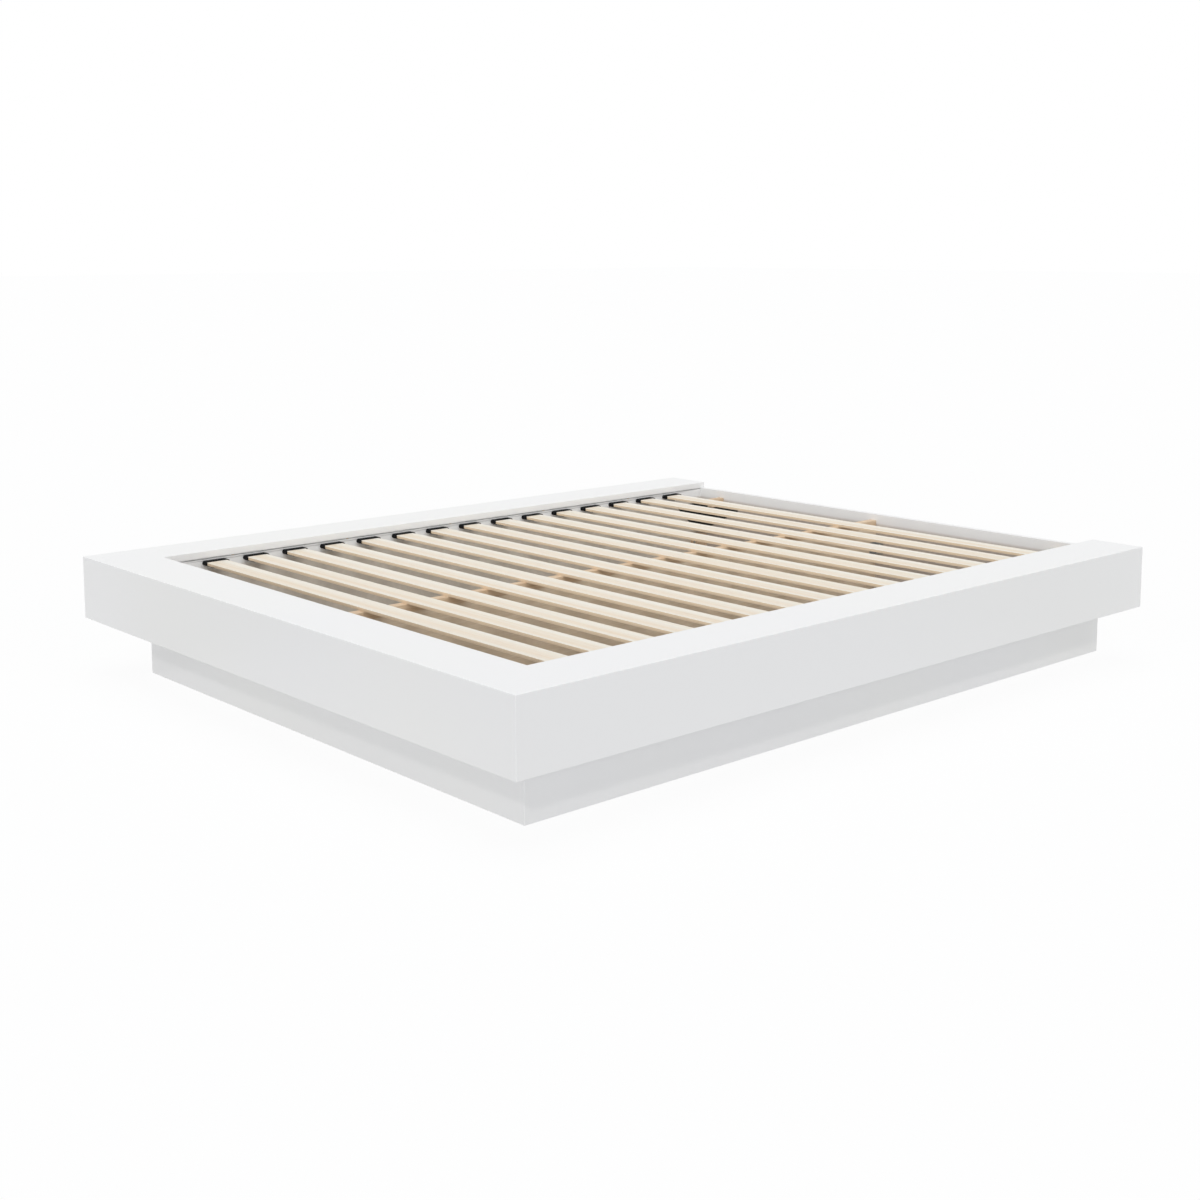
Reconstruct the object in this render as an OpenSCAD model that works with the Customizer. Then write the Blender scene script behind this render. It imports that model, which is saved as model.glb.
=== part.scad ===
// Platform bed: a hollow lacquered rim on a set-back plinth, open at the head,
// with flat wooden slats held in caps on the rails and carried on a centre beam.
// Millimetres. +Z is up, +Y points to the head, +X to the right of someone lying in it.
// The origin is on the floor, under the middle of the bed.

/* [Mattress opening] */
// Width of the mattress that the frame holds
mattress_w = 1524; // [1370:1:1830]
// Length of the mattress that the frame holds
mattress_l = 2032; // [1900:1:2130]
// Free space at each side of the mattress
mattress_side_gap = 7; // [3:0.5:15]
// Free space left along the length of the mattress
mattress_end_gap = 24; // [10:1:40]

/* [Rim and plinth] */
// Thickness of every lacquered board
board_t = 18; // [15:0.5:20]
// Width of the flat rim around the mattress
rim_w = 156; // [145:1:200]
// Height of the hollow rim box
box_h = 168; // [160:1:220]
// Height of the plinth under the rim box
plinth_h = 150; // [110:1:220]
// How far the plinth stands back from each side
plinth_side_inset = 130; // [100:0.5:133]
// How far the plinth stands back from the foot
plinth_foot_inset = 125; // [100:0.5:133]
// How far the inner rails stand back under the edge of the rim
rail_setback = 1.5; // [0.5:0.5:3]
// Number of ribs inside each side box
side_ribs = 4; // [2:1:6]
// Number of ribs inside the foot box
foot_ribs = 3; // [2:1:5]
// Thickness of a rib
rib_t = 18; // [12:0.5:22]
// Side of the square blocks in the plinth corners
block_w = 40; // [34:1:50]
// Gap between a corner block and the floor or the box above
block_end_gap = 10; // [5:1:20]

/* [Slats] */
// Number of slats
slat_count = 15; // [12:1:16]
// Width of a slat
slat_w = 64.5; // [50:0.5:70]
// Thickness of a slat
slat_t = 8; // [6:0.5:12]
// Depth of the slat tops below the top of the rim
slat_drop = 29; // [24:0.5:40]
// Clear space between the end slats and the foot or head of the opening
slat_end_space = 119; // [90:1:130]

/* [Slat caps] */
// Play between a slat and its cap
cap_play = 0.3; // [0.2:0.05:0.6]
// Thickness of the cap beside the slat
cap_side_wall = 3.5; // [3:0.1:4.5]
// Thickness of the tongue under the slat
cap_floor = 2; // [1.5:0.1:2.5]
// Thickness of the lip over the slat
cap_lip = 3; // [2:0.1:4]
// Thickness of the cap against the rail
cap_back = 3; // [2:0.1:4]
// Play between the end of a slat and the back of its cap
slat_end_play = 2.5; // [1:0.1:4]
// Reach of the lip over the slat, from the rail
cap_lip_reach = 15; // [7.5:0.5:18]
// Reach of the side walls, from the rail
cap_side_reach = 22; // [18.5:0.5:30]
// Reach of the tongue under the slat, from the rail
cap_tongue_reach = 52; // [32:0.5:60]
// Width of the tongue
cap_tongue_w = 58; // [30:1:58]
// Diameter of the pegs that hold a cap to the rail
peg_d = 7.6; // [6:0.1:8]
// Length of a peg
peg_l = 11; // [8:0.5:12]
// Distance between the two pegs of a cap
peg_spacing = 36; // [25:1:40]
// Radial clearance of the pegs, dowels, bolts and screws in their holes
hole_play = 0.2; // [0.1:0.05:0.3]
// Extra depth of a blind hole past what it holds
hole_end_gap = 1; // [0.5:0.25:2]

/* [Centre support] */
// Width of the beam under the middle of the slats
beam_w = 24; // [22:0.5:40]
// Height of the beam
beam_h = 22; // [20:0.5:30]
// Thickness of the board that carries the beam
centre_board_t = 22; // [20:0.5:22]
// Gap under the centre board, where the levelling feet can be reached
centre_floor_gap = 16; // [12:0.5:20]
// Number of dowels between the beam and the centre board
beam_dowel_count = 6; // [3:1:8]
// Diameter of a dowel
dowel_d = 8; // [6:0.5:8.5]
// Length of a dowel
dowel_l = 30; // [26:1:34]
// Depth of a dowel in the rim above a rail
rim_dowel_up = 10; // [8:0.5:12]
// Depth of a dowel in the beam
beam_dowel_up = 15; // [10:0.5:17]
// A dowel joins each side rail to the rim in every so many spaces between slats
dowel_every = 3; // [1:1:5]
// Number of dowels between the rim and the foot rail
foot_dowels = 5; // [3:1:6]

/* [Levelling feet] */
// Number of levelling feet under the centre board
feet_count = 3; // [2:1:3]
// Diameter of a foot's pad
pad_d = 38; // [28:1:50]
// Height of the pad
pad_h = 7; // [5:0.5:8]
// Diameter of the threaded stud
stud_d = 8; // [6:0.5:8]
// Length of the stud above its pad
stud_l = 34; // [30:0.5:40]
// Depth of the stud in the pad
stud_seat = 4; // [2:0.5:4]
// Outer diameter of the threaded insert
insert_d = 12; // [11:0.5:13]
// Length of the insert
insert_l = 14; // [10:0.5:18]
// Radial clearance of a stud in its pad and in its insert
stud_play = 0.05; // [0.03:0.01:0.1]

/* [Brackets and fasteners] */
// Thickness of the corner brackets
bracket_t = 3; // [2:0.5:4]
// Length of the bracket's long leg, on the head or foot board
bracket_long = 182; // [150:1:220]
// Length of the bracket's short leg, on the side rail
bracket_short = 110; // [80:1:112]
// Length of the part of each leg that has the full height
bracket_root_l = 24; // [10:1:30]
// Distance from the bottom of the box to the bracket
bracket_floor_gap = 4; // [3:1:20]
// Height of the bracket at the tips of its legs
bracket_tip_h = 12; // [6:1:16]
// Depth of the bracket's top edge below the rim's top
bracket_drop = 70; // [68:1:74]
// Width of the timber cleat on each head bracket
cleat_w = 22; // [15:0.5:30]
// Length of the cleat
cleat_l = 58; // [45:1:80]
// Height of the cleat
cleat_h = 28; // [20:0.5:32]
// Distance from the side rail to the cleat
cleat_offset = 92; // [80:1:110]
// Shank diameter of a bracket bolt
bolt_d = 5.5; // [4:0.5:6]
// Length of a bracket bolt under its head
bolt_l = 15; // [12:0.5:16]
// Diameter of a bolt's head
bolt_head_d = 11; // [9:0.5:13]
// Height of a bolt's head
bolt_head_h = 3; // [2:0.5:4]
// Distance from the corner to the first bolt on each leg
bolt_first = 34; // [30:1:36]
// Distance between the two bolts on the long leg
bolt_step = 64; // [45:1:68]
// Depth of the bolts below the bracket's top edge
bolt_drop = 22; // [18:1:24]
// Width of each leg of the angles at the ends of the centre board
angle_leg = 30; // [26:1:40]
// Height of an angle
angle_h = 40; // [34:1:44]
// Thickness of an angle
angle_t = 2; // [1.5:0.5:3]
// Gap between an angle and the soffit under it
angle_floor_gap = 4; // [2:1:6]
// Shank diameter of a wood screw
screw_d = 4; // [3:0.5:5]
// Length of an angle's screw under its head
angle_screw_l = 11; // [8:0.5:12]
// Length of a plinth screw under its head
plinth_screw_l = 50; // [46:1:54]
// Diameter of a screw's head
screw_head_d = 8; // [7:0.5:9]
// Height of a screw's head
screw_head_h = 2.5; // [2:0.5:3]
// Distance between the two screws of a pair on an angle
angle_screw_step = 22; // [16:1:24]
// Distance between the two screws of a pair in a corner block
block_screw_step = 60; // [40:1:62]
// Height of the screws into the end board above those into the side board
block_screw_rise = 14; // [8:1:16]

/* [Hidden] */
$fn = 48;
// How far a cutting shape runs past what it cuts
past = 5;

// Levels
z_box = plinth_h;
z_top = plinth_h + box_h;
z_deck = z_top - board_t;
z_soffit_top = z_box + board_t;
slat_top = z_top - slat_drop;
slat_bottom = slat_top - slat_t;

// Outer and inner edges of the rim in plan
bed_w = mattress_w + 2 * mattress_side_gap + 2 * rim_w;
bed_l = rim_w + mattress_l + mattress_end_gap + board_t;
x_out = bed_w / 2;
x_in = x_out - rim_w;
y_foot = -bed_l / 2;
y_head = bed_l / 2;
y_in = y_foot + rim_w;
y_panel = y_head - board_t;

// Inner faces of the fascias and of the inner rails
x_fascia_in = x_out - board_t;
y_fascia_in = y_foot + board_t;
x_rail = x_in + rail_setback;
y_rail = y_in - rail_setback;
x_rail_back = x_rail + board_t;
y_rail_back = y_rail - board_t;

// Plinth
x_plinth = x_out - plinth_side_inset;
y_plinth = y_foot + plinth_foot_inset;
block_h = plinth_h - 2 * block_end_gap;

// Slats
slat_x = x_rail - cap_back - slat_end_play;
slat_first = y_in + slat_end_space + slat_w / 2;
slat_last = y_panel - slat_end_space - slat_w / 2;
slat_pitch = (slat_last - slat_first) / (slat_count - 1);
function slat_y(i) = slat_first + (i - 1) * slat_pitch;
function two_digits(i) = i < 10 ? str("0", i) : str(i);

// Caps
cap_bottom = slat_bottom - cap_floor;
cap_h = cap_floor + slat_t + cap_play + cap_lip;
cap_mid = cap_bottom + cap_h / 2;
cap_w = slat_w + 2 * (cap_play + cap_side_wall);

// Centre support
beam_bottom = slat_bottom - beam_h;
function spread(i, count, low, high) = low + (high - low) * (i - 0.5) / count;
function foot_y(i) = spread(i, feet_count, y_rail, y_panel);

// Brackets
bracket_top = z_top - bracket_drop;
bracket_bottom = z_box + bracket_floor_gap;
bolt_z = bracket_top - bolt_drop;
angle_bottom = z_soffit_top + angle_floor_gap;
angle_mid = angle_bottom + angle_h / 2;

SLATS = [for (i = [1:slat_count]) str("slat_", two_digits(i))];
FEET = [for (i = [1:feet_count]) each [str("levelling_pad_", i), str("levelling_stud_", i)]];

// A box from its low corner to its high corner
module block(low, high) {
    translate(low) cube(high - low);
}

// The given outline of X and Z, carried along Y
module along_y(y0, y1, outline) {
    translate([0, y1, 0]) rotate([90, 0, 0]) linear_extrude(y1 - y0) polygon(outline);
}

// The given outline of Y and Z, carried along X
module along_x(x0, x1, outline) {
    translate([x0, 0, 0]) rotate([90, 0, 90]) linear_extrude(x1 - x0) polygon(outline);
}

// A rod along X from x0 to x1
module rod_x(x0, x1, y, z, d) {
    translate([x0, y, z]) rotate([0, 90, 0]) cylinder(d = d, h = x1 - x0);
}

// A rod along Y from y0 to y1
module rod_y(y0, y1, x, z, d) {
    translate([x, y1, z]) rotate([90, 0, 0]) cylinder(d = d, h = y1 - y0);
}

// A rod along Z from z0 to z1
module rod_z(z0, z1, x, y, d) {
    translate([x, y, z0]) cylinder(d = d, h = z1 - z0);
}

module right_side() {
    mirror([1, 0, 0]) children();
}

// What a mitre removes from a left board: all that is on the foot side of the 45 degree
// line through the outer corner (x, y)
module cut_foot_side(x, y, reach) {
    translate([x, y, -past])
        linear_extrude(z_top + 2 * past) polygon([[-past, -past], [reach, -past], [reach, reach]]);
}

// What a mitre removes from the left end of a foot board: the other side of the same line
module cut_left_side(x, y, reach) {
    translate([x, y, -past])
        linear_extrude(z_top + 2 * past) polygon([[-past, -past], [reach, reach], [-past, reach]]);
}

// Places of the dowels between the rim and the rails
module side_dowel_places() {
    for (i = [1:dowel_every:slat_count - 1])
        translate([-(x_rail + board_t / 2), slat_y(i + 0.5), z_deck]) children();
}

module foot_dowel_places() {
    for (i = [1:foot_dowels])
        translate([spread(i, foot_dowels, -x_rail, x_rail), y_rail - board_t / 2, z_deck]) children();
}

// A dowel that stands up past the joint by the given depth, and the hole for it
module dowel(up) {
    rod_z(up - dowel_l, up, 0, 0, dowel_d);
}

module dowel_hole(up) {
    rod_z(up - dowel_l - hole_end_gap, up + hole_end_gap, 0, 0, dowel_d + 2 * hole_play);
}

// Rim box

module left_deck_board() {
    color("white") difference() {
        along_y(y_foot, y_head, [
            [-x_out, z_top],
            [-x_in, z_top],
            [-x_in, z_deck],
            [-x_fascia_in, z_deck]
        ]);
        cut_foot_side(-x_out, y_foot, rim_w + past);
        side_dowel_places() dowel_hole(rim_dowel_up);
    }
}

module foot_deck_board() {
    color("white") difference() {
        along_x(-x_out, x_out, [
            [y_foot, z_top],
            [y_in, z_top],
            [y_in, z_deck],
            [y_fascia_in, z_deck]
        ]);
        cut_left_side(-x_out, y_foot, rim_w + past);
        right_side() cut_left_side(-x_out, y_foot, rim_w + past);
        foot_dowel_places() dowel_hole(rim_dowel_up);
    }
}

module left_fascia() {
    color("whitesmoke") difference() {
        along_y(y_foot, y_head, [
            [-x_out, z_top],
            [-x_fascia_in, z_deck],
            [-x_fascia_in, z_box],
            [-x_out, z_box]
        ]);
        cut_foot_side(-x_out, y_foot, board_t + past);
    }
}

module foot_fascia() {
    color("whitesmoke") difference() {
        along_x(-x_out, x_out, [
            [y_foot, z_top],
            [y_fascia_in, z_deck],
            [y_fascia_in, z_box],
            [y_foot, z_box]
        ]);
        cut_left_side(-x_out, y_foot, board_t + past);
        right_side() cut_left_side(-x_out, y_foot, board_t + past);
    }
}

module head_panel() {
    color("gainsboro") difference() {
        block([-x_fascia_in, y_panel, z_box], [x_fascia_in, y_head, z_deck]);
        both_sides() head_corner() long_leg_bolt_holes();
        centre_angle_places() angle_screw_holes_end();
    }
}

module left_inner_rail() {
    color("gainsboro") difference() {
        block([-x_rail_back, y_rail_back, z_soffit_top], [-x_rail, y_panel, z_deck]);
        cap_places() cap_peg_holes();
        side_dowel_places() dowel_hole(rim_dowel_up);
        head_corner() short_leg_bolt_holes();
        foot_corner() short_leg_bolt_holes();
    }
}

module foot_inner_rail() {
    color("gainsboro") difference() {
        block([-x_rail, y_rail_back, z_soffit_top], [x_rail, y_rail, z_deck]);
        foot_dowel_places() dowel_hole(rim_dowel_up);
        both_sides() foot_corner() long_leg_bolt_holes();
        centre_angle_places() angle_screw_holes_end();
    }
}

module left_soffit() {
    color("lightgray")
        block([-x_fascia_in, y_fascia_in, z_box], [-x_rail, y_panel, z_soffit_top]);
}

module foot_soffit() {
    color("lightgray")
        block([-x_rail, y_fascia_in, z_box], [x_rail, y_rail, z_soffit_top]);
}

module left_rim_ribs() {
    color("tan") for (i = [1:side_ribs]) {
        y = spread(i, side_ribs, y_rail, y_panel);
        block([-x_fascia_in, y - rib_t / 2, z_soffit_top], [-x_rail_back, y + rib_t / 2, z_deck]);
    }
}

module foot_rim_ribs() {
    color("tan") for (i = [1:foot_ribs]) {
        x = spread(i, foot_ribs, -x_rail, x_rail);
        block([x - rib_t / 2, y_fascia_in, z_soffit_top], [x + rib_t / 2, y_rail_back, z_deck]);
    }
}

module rim_dowels() {
    color("burlywood") {
        both_sides() side_dowel_places() dowel(rim_dowel_up);
        foot_dowel_places() dowel(rim_dowel_up);
    }
}

// Plinth

// Places of the two corner blocks on the left, with their inner corner at the origin,
// X into the side board and Y into the end board
module left_block_places() {
    translate([-x_plinth + board_t + block_w, y_plinth + board_t + block_w, 0])
        mirror([1, 0, 0]) mirror([0, 1, 0]) children();
    translate([-x_plinth + board_t + block_w, y_panel - block_w, 0]) mirror([1, 0, 0]) children();
}

module block_places() {
    both_sides() left_block_places() children();
}

// Heights of a block's two screws into the side board; those into the end board are a little higher
function block_screw_z(i) = plinth_h / 2 + (i - 0.5) * block_screw_step - block_screw_rise / 2;

module plinth_screws() {
    color("silver") block_places() for (i = [0, 1]) {
        rod_x(0, plinth_screw_l, block_w / 2, block_screw_z(i), screw_d);
        rod_x(-screw_head_h, 0, block_w / 2, block_screw_z(i), screw_head_d);
        rod_y(0, plinth_screw_l, block_w / 2, block_screw_z(i) + block_screw_rise, screw_d);
        rod_y(-screw_head_h, 0, block_w / 2, block_screw_z(i) + block_screw_rise, screw_head_d);
    }
}

module plinth_screw_holes() {
    hole_end = plinth_screw_l + hole_end_gap;
    for (i = [0, 1]) {
        rod_x(-past, hole_end, block_w / 2, block_screw_z(i), screw_hole_d);
        rod_y(-past, hole_end, block_w / 2, block_screw_z(i) + block_screw_rise, screw_hole_d);
    }
}

module left_plinth_board() {
    color("gainsboro") difference() {
        block([-x_plinth, y_plinth, 0], [-x_plinth + board_t, y_head, z_box]);
        cut_foot_side(-x_plinth, y_plinth, board_t + past);
        left_block_places() plinth_screw_holes();
    }
}

module foot_plinth_board() {
    color("gainsboro") difference() {
        block([-x_plinth, y_plinth, 0], [x_plinth, y_plinth + board_t, z_box]);
        cut_left_side(-x_plinth, y_plinth, board_t + past);
        right_side() cut_left_side(-x_plinth, y_plinth, board_t + past);
        block_places() plinth_screw_holes();
    }
}

module head_plinth_board() {
    color("gainsboro") difference() {
        block([-x_plinth + board_t, y_panel, 0], [x_plinth - board_t, y_head, z_box]);
        block_places() plinth_screw_holes();
    }
}

module plinth_corner_blocks() {
    color("burlywood") block_places() difference() {
        block([0, 0, block_end_gap], [block_w, block_w, block_end_gap + block_h]);
        plinth_screw_holes();
    }
}

// Slats and caps

module slat(i) {
    color("bisque")
        block([-slat_x, slat_y(i) - slat_w / 2, slat_bottom], [slat_x, slat_y(i) + slat_w / 2, slat_top]);
}

// Places of the caps on the left rail, with X pointing from the rail's face into the bed
module cap_places() {
    for (i = [1:slat_count]) translate([-x_rail, slat_y(i), 0]) children();
}

module cap_peg_holes() {
    for (side = [-1, 1])
        rod_x(-peg_l - hole_end_gap, past, side * peg_spacing / 2, cap_mid, peg_d + 2 * hole_play);
}

// Outline of a cap seen from the middle of the bed: straight above and below, round at both ends
module cap_outline() {
    square([cap_w - cap_h, cap_h], center = true);
    for (side = [-1, 1]) translate([side * (cap_w - cap_h) / 2, 0]) circle(d = cap_h);
}

module slat_cap() {
    pocket_w = slat_w + 2 * cap_play;
    difference() {
        union() {
            translate([0, 0, cap_mid]) rotate([90, 0, 90]) linear_extrude(cap_side_reach) cap_outline();
            block([0, -cap_tongue_w / 2, cap_bottom], [cap_tongue_reach, cap_tongue_w / 2, slat_bottom]);
            for (side = [-1, 1]) rod_x(-peg_l, cap_back / 2, side * peg_spacing / 2, cap_mid, peg_d);
        }
        block([cap_back, -pocket_w / 2, slat_bottom],
              [cap_tongue_reach + past, pocket_w / 2, slat_top + cap_play]);
        block([cap_lip_reach, -pocket_w / 2, slat_bottom],
              [cap_tongue_reach + past, pocket_w / 2, slat_top + cap_h]);
    }
}

module left_slat_caps() {
    color("black") cap_places() slat_cap();
}

// Centre support

module beam_dowel_places() {
    for (i = [1:beam_dowel_count])
        translate([0, spread(i, beam_dowel_count, y_rail, y_panel), beam_bottom])
            children();
}

module beam_dowels() {
    color("burlywood") beam_dowel_places() dowel(beam_dowel_up);
}

module centre_beam() {
    color("burlywood") difference() {
        block([-beam_w / 2, y_rail, beam_bottom], [beam_w / 2, y_panel, slat_bottom]);
        beam_dowel_places() dowel_hole(beam_dowel_up);
    }
}

module centre_board() {
    color("gainsboro") difference() {
        block([-centre_board_t / 2, y_rail, centre_floor_gap], [centre_board_t / 2, y_panel, beam_bottom]);
        beam_dowel_places() dowel_hole(beam_dowel_up);
        foot_places() {
            rod_z(centre_floor_gap - past, centre_floor_gap + insert_l, 0, 0, insert_d + 2 * hole_play);
            rod_z(0, stud_top_up + hole_end_gap, 0, 0, stud_d + 2 * hole_play);
        }
        centre_angle_places() angle_screw_holes_board();
    }
}

// Places of the four angles, with X out from the board's side and Y away from the end panel
module centre_angle_places() {
    both_sides() {
        translate([-centre_board_t / 2, y_panel, 0]) mirror([1, 0, 0]) mirror([0, 1, 0]) children();
        translate([-centre_board_t / 2, y_rail, 0]) mirror([1, 0, 0]) children();
    }
}

// Heights of the two screws in each leg of an angle
function angle_screw_z(i) = angle_mid + (i - 0.5) * angle_screw_step;
angle_screw_in = (angle_leg + angle_t) / 2;
screw_hole_d = screw_d + 2 * hole_play;

module angle_screw_holes_end() {
    for (i = [0, 1])
        rod_y(angle_t - angle_screw_l - hole_end_gap, past, angle_screw_in, angle_screw_z(i), screw_hole_d);
}

module angle_screw_holes_board() {
    for (i = [0, 1])
        rod_x(angle_t - angle_screw_l, past, angle_screw_in, angle_screw_z(i), screw_hole_d);
}

module centre_angles() {
    color("dimgray") centre_angle_places() difference() {
        union() {
            block([0, 0, angle_bottom], [angle_leg, angle_t, angle_bottom + angle_h]);
            block([0, 0, angle_bottom], [angle_t, angle_leg, angle_bottom + angle_h]);
        }
        angle_screw_holes_end();
        for (i = [0, 1])
            rod_x(-past, past, angle_screw_in, angle_screw_z(i), screw_hole_d);
    }
}

module angle_screws() {
    color("silver") centre_angle_places() for (i = [0, 1]) {
        rod_y(angle_t - angle_screw_l, angle_t, angle_screw_in, angle_screw_z(i), screw_d);
        rod_y(angle_t, angle_t + screw_head_h, angle_screw_in, angle_screw_z(i), screw_head_d);
        rod_x(angle_t - angle_screw_l + hole_end_gap, angle_t, angle_screw_in, angle_screw_z(i), screw_d);
        rod_x(angle_t, angle_t + screw_head_h, angle_screw_in, angle_screw_z(i), screw_head_d);
    }
}

// Levelling feet

module foot_places() {
    for (i = [1:feet_count]) translate([0, foot_y(i), 0]) children();
}

// Top of a stud when its foot is turned right up
stud_top = pad_h + stud_l;
stud_top_up = stud_top + centre_floor_gap - pad_h;

module foot_inserts() {
    color("silver") foot_places() difference() {
        rod_z(centre_floor_gap, centre_floor_gap + insert_l, 0, 0, insert_d);
        rod_z(0, stud_top, 0, 0, stud_d + 2 * stud_play);
    }
}

module levelling_pad(i) {
    color("black") translate([0, foot_y(i), 0]) difference() {
        cylinder(d = pad_d, h = pad_h);
        rod_z(pad_h - stud_seat, pad_h + past, 0, 0, stud_d + 2 * stud_play);
    }
}

module levelling_stud(i) {
    color("silver") translate([0, foot_y(i), 0]) rod_z(pad_h - stud_seat, stud_top, 0, 0, stud_d);
}

// Corner brackets

module both_sides() {
    children();
    right_side() children();
}

// The inner corners on the left, with X along the end board and Y along the side rail
module head_corner() {
    translate([-x_rail, y_panel, 0]) mirror([0, 1, 0]) children();
}

module foot_corner() {
    translate([-x_rail, y_rail, 0]) children();
}

function long_bolt_x(i) = bolt_first + i * bolt_step;

module long_leg_bolt_holes() {
    for (i = [0, 1])
        rod_y(bracket_t - bolt_l - hole_end_gap, past, long_bolt_x(i), bolt_z, bolt_d + 2 * hole_play);
}

module short_leg_bolt_holes() {
    rod_x(bracket_t - bolt_l - hole_end_gap, past, bolt_first, bolt_z, bolt_d + 2 * hole_play);
}

function bracket_leg(reach) = [
    [0, bracket_bottom],
    [0, bracket_top],
    [reach, bracket_top],
    [reach, bracket_top - bracket_tip_h],
    [bracket_root_l, bracket_bottom]
];

module corner_bracket() {
    color("black") difference() {
        union() {
            along_y(0, bracket_t, bracket_leg(bracket_long));
            along_x(0, bracket_t, bracket_leg(bracket_short));
        }
        long_leg_bolt_holes();
        short_leg_bolt_holes();
    }
}

module bracket_bolt_set() {
    for (i = [0, 1]) {
        rod_y(bracket_t - bolt_l, bracket_t, long_bolt_x(i), bolt_z, bolt_d);
        rod_y(bracket_t, bracket_t + bolt_head_h, long_bolt_x(i), bolt_z, bolt_head_d);
    }
    rod_x(bracket_t - bolt_l, bracket_t, bolt_first, bolt_z, bolt_d);
    rod_x(bracket_t, bracket_t + bolt_head_h, bolt_first, bolt_z, bolt_head_d);
}

module bracket_bolts() {
    color("silver") both_sides() {
        head_corner() bracket_bolt_set();
        foot_corner() bracket_bolt_set();
    }
}

module left_head_cleat() {
    color("burlywood") head_corner()
        block([cleat_offset, 0, bracket_top], [cleat_offset + cleat_w, cleat_l, bracket_top + cleat_h]);
}

left_deck_board();
right_side() left_deck_board();  // right_deck_board
foot_deck_board();
left_fascia();
right_side() left_fascia();  // right_fascia
foot_fascia();
head_panel();
left_inner_rail();
right_side() left_inner_rail();  // right_inner_rail
foot_inner_rail();
left_soffit();
right_side() left_soffit();  // right_soffit
foot_soffit();
left_rim_ribs();
right_side() left_rim_ribs();  // right_rim_ribs
foot_rim_ribs();
rim_dowels();
left_plinth_board();
right_side() left_plinth_board();  // right_plinth_board
foot_plinth_board();
head_plinth_board();
plinth_corner_blocks();
plinth_screws();
centre_beam();
centre_board();
beam_dowels();
centre_angles();
angle_screws();
foot_inserts();
for (i = [1:feet_count]) {
    levelling_pad(i);
    levelling_stud(i);
}
left_slat_caps();
right_side() left_slat_caps();  // right_slat_caps
for (i = [1:slat_count]) {
    slat(i);
}
head_corner() corner_bracket();  // left_head_bracket
right_side() head_corner() corner_bracket();  // right_head_bracket
foot_corner() corner_bracket();  // left_foot_bracket
right_side() foot_corner() corner_bracket();  // right_foot_bracket
left_head_cleat();
right_side() left_head_cleat();  // right_head_cleat
bracket_bolts();
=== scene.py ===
# %% [markdown]
# A white platform bed with wooden slats
#
# This lesson dresses the measured model of a low bed: a hollow white rim on a plinth, with slats laid
# across it in black caps. The solids of the model come in first and fix every size and place. Each cell
# then makes one kind of piece or one finish, and says why it is made that way.
#
# Lengths are in metres. Z is up, Y points to the head of the bed, and X to the right as seen from the foot.

# %% Load the measured model
import math

import bmesh
import bpy
import numpy as np
from mathutils import Matrix, Vector


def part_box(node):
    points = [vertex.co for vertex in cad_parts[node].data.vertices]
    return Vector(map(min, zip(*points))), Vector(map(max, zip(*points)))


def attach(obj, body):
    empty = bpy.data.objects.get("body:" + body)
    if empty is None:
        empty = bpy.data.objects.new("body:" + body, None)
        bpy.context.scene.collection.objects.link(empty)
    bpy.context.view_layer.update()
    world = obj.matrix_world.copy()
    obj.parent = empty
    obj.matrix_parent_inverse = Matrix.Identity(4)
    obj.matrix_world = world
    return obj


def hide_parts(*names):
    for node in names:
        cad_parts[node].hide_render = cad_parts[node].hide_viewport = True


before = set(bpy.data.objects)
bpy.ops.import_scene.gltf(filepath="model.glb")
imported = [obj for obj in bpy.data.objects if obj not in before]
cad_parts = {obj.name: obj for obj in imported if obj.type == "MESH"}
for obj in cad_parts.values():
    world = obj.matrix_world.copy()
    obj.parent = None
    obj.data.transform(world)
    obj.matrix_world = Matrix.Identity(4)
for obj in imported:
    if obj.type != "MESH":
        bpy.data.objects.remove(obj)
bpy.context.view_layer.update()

# %% [markdown]
# Colours and node trees
#
# Colours are easiest to judge as screen values from 0 to 255, but shaders work with linear light. One small
# function turns the first into the second, so that every colour below can be written as it looks.
#
# A material in Blender is a tree of nodes. Setting up a node takes the same steps each time: make it, set
# its options, and fill its inputs with either a plain value or a link from another node. The helper does
# those steps, so that each finish further down reads like a list of its own decisions.


# %% Helpers for colours and node trees
def screen(red, green, blue):
    """Linear colour of a screen colour. With c from 0 to 1 in each channel, it is ((c + 0.055) / 1.055) to
    the power 2.4, or c / 12.92 where c is at most 0.04045."""
    c = np.array([red, green, blue]) / 255
    linear = np.where(c <= 0.04045, c / 12.92, ((c + 0.055) / 1.055) ** 2.4)
    return (*linear.tolist(), 1.0)


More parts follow.
